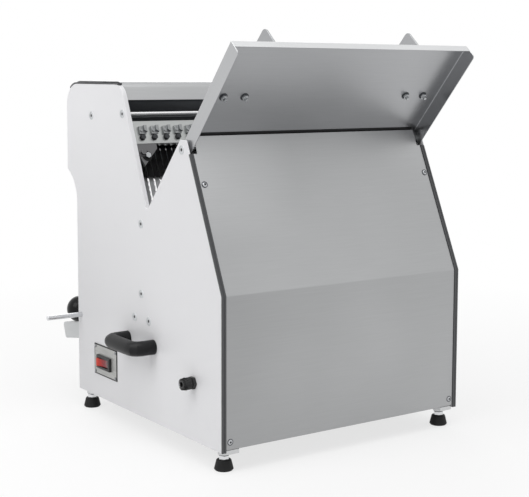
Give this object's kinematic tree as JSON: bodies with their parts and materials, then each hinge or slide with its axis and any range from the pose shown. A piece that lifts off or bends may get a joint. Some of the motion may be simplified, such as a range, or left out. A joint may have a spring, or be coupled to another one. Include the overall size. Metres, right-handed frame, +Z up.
{
  "type": "bread slicer",
  "caption": "Countertop motor-driven bread slicer: two slotted blade frames between white side plates, hinged steel lid over a V feed, front outlet shelf, bow handles and rocker switch.",
  "frame": {"origin": "centre of the whole machine's footprint, on the surface the rubber feet stand on, with the lid open and the shelf down", "axes": "+Z up, +Y towards the back panel (the loading side), +X towards the side plate with the switch and the cable gland"},
  "size_m": [0.642, 0.628, 0.7044],
  "materials": {
    "white_plate": "white satin powder coat",
    "stainless": "brushed stainless sheet",
    "bright_steel": "bright turned steel",
    "zinc_steel": "plain zinc-plated steel",
    "black_trim": "charcoal extruded edge trim",
    "black_plastic": "black moulded plastic",
    "rubber": "black rubber",
    "red_plastic": "translucent red rocker",
    "frame_steel": "milled steel bar",
    "blade_steel": "ground blade steel",
    "motor_paint": "dark grey motor housing",
    "grey_panel": "light grey painted shelf",
    "switch_metal": "bare aluminium plate with a black line"
  },
  "bodies": {
    "housing": {"side_plate_right": "white_plate", "side_plate_left": "white_plate", "back_trim_right": "black_trim", "back_trim_left": "black_trim", "top_trim_right": "black_trim", "top_trim_left": "black_trim", "plate_screws": "zinc_steel", "back_panel": "stainless", "panel_screws": "bright_steel", "top_hood": "stainless", "base_pan": "stainless", "front_panel": "stainless", "tie_rod_front": "bright_steel", "tie_rod_upper": "bright_steel", "tie_rod_feed": "bright_steel", "tie_rod_lower": "bright_steel", "motor_rails": "zinc_steel", "hinge_rod": "bright_steel", "feed_table": "stainless", "feed_rail": "zinc_steel", "outlet_chute": "stainless", "frame_guides": "black_plastic", "shaft_blocks": "zinc_steel", "motor": "motor_paint", "drive_belt": "rubber", "carry_handle_right": "black_plastic", "carry_handle_left": "black_plastic", "switch_plate": "switch_metal", "switch_bezel": "black_plastic", "cable_gland": "black_plastic", "foot_brackets": "stainless", "shelf_rod": "bright_steel"},
    "lid": {"lid_pan": "stainless", "lid_studs": "bright_steel", "pusher_right": "stainless", "pusher_left": "stainless", "lid_buffer": "rubber"},
    "rear_blade_frame": {"blade_frame_rear": "frame_steel", "blades_rear": "blade_steel", "clamps_rear": "zinc_steel", "gussets": "frame_steel"},
    "front_blade_frame": {"blade_frame_front": "frame_steel", "blades_front": "blade_steel", "clamps_front": "zinc_steel"},
    "crankshaft": {"drive_shaft": "bright_steel", "drive_pulley": "zinc_steel"},
    "motor_rotor": {"motor_pulley": "zinc_steel"},
    "power_rocker": {"rocker": "red_plastic"},
    "tray": {"crumb_tray": "stainless"},
    "shelf": {"outlet_shelf": "grey_panel", "grip_right": "black_plastic", "grip_left": "black_plastic"},
    "foot_back_right": {"foot_pad_back_right": "rubber", "foot_bolt_back_right": "bright_steel"},
    "foot_back_left": {"foot_pad_back_left": "rubber", "foot_bolt_back_left": "bright_steel"},
    "foot_front_right": {"foot_pad_front_right": "rubber", "foot_bolt_front_right": "bright_steel"},
    "foot_front_left": {"foot_pad_front_left": "rubber", "foot_bolt_front_left": "bright_steel"}
  },
  "joints": [
    {"name": "lid_hinge", "type": "hinge", "parent": "housing", "child": "lid", "pos_m": [0, 0.15815, 0.51052], "axis": [1, 0, 0], "range_deg": [0, 94]},
    {"name": "rear_frame_stroke", "type": "slide", "parent": "housing", "child": "rear_blade_frame", "axis": [0, -0.3827, 0.9239], "range_m": [-0.008, 0.008]},
    {"name": "front_frame_stroke", "type": "slide", "parent": "housing", "child": "front_blade_frame", "axis": [0, -0.3827, 0.9239], "range_m": [-0.008, 0.008]},
    {"name": "crank_turn", "type": "hinge", "parent": "housing", "child": "crankshaft", "pos_m": [0, 0.08988, 0.155], "axis": [1, 0, 0], "continuous": true},
    {"name": "motor_turn", "type": "hinge", "parent": "housing", "child": "motor_rotor", "pos_m": [-0.2, -0.02512, 0.143], "axis": [1, 0, 0], "continuous": true},
    {"name": "power_switch", "type": "hinge", "parent": "housing", "child": "power_rocker", "pos_m": [0.252, -0.11812, 0.1045], "axis": [0, 0, -1], "range_deg": [0, 14]},
    {"name": "crumb_tray_slide", "type": "slide", "parent": "housing", "child": "tray", "axis": [0, -1, 0], "range_m": [0, 0.38]},
    {"name": "shelf_fold", "type": "hinge", "parent": "housing", "child": "shelf", "pos_m": [0, -0.21512, 0.1795], "axis": [-1, 0, 0], "range_deg": [0, 37]},
    {"name": "foot_back_right_turn", "type": "hinge", "parent": "housing", "child": "foot_back_right", "pos_m": [0.232, 0.25458, 0.015], "axis": [0, 0, 1], "continuous": true},
    {"name": "foot_back_left_turn", "type": "hinge", "parent": "housing", "child": "foot_back_left", "pos_m": [-0.232, 0.25458, 0.015], "axis": [0, 0, 1], "continuous": true},
    {"name": "foot_front_right_turn", "type": "hinge", "parent": "housing", "child": "foot_front_right", "pos_m": [0.232, -0.21112, 0.015], "axis": [0, 0, 1], "continuous": true},
    {"name": "foot_front_left_turn", "type": "hinge", "parent": "housing", "child": "foot_front_left", "pos_m": [-0.232, -0.21112, 0.015], "axis": [0, 0, 1], "continuous": true}
  ],
  "couplings": [
    {"joint": "front_frame_stroke", "follows": "rear_frame_stroke", "ratio": -1},
    {"joint": "motor_turn", "follows": "crank_turn", "ratio": 2}
  ]
}
